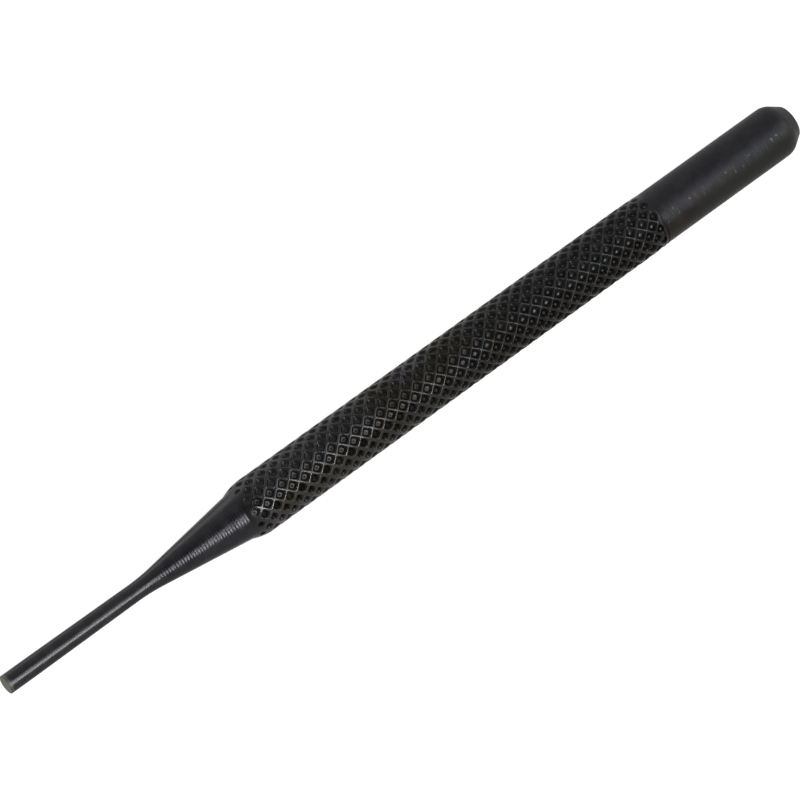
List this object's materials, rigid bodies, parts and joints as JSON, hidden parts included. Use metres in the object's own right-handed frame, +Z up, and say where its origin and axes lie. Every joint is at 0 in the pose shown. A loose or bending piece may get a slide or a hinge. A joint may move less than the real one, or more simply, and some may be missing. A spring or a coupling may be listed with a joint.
{
  "type": "pin punch",
  "caption": "Slim steel pin punch: a short parallel drive pin on a tapered neck, set in a long diamond-knurled handle with a bare, crowned striking head.",
  "frame": {"origin": "middle of the punch's length, on the surface that it lies on, straight under its axis", "axes": "+X along the punch from the pin's tip to the striking head, +Z up, +Y to the side"},
  "size_m": [0.1206, 0.007, 0.0071],
  "materials": {
    "pin_steel": "turned, black oxide, satin",
    "handle_steel": "knurled and turned, black oxide, satin"
  },
  "bodies": {
    "root": {"drive_pin": "pin_steel", "knurled_handle": "handle_steel"}
  },
  "joints": []
}
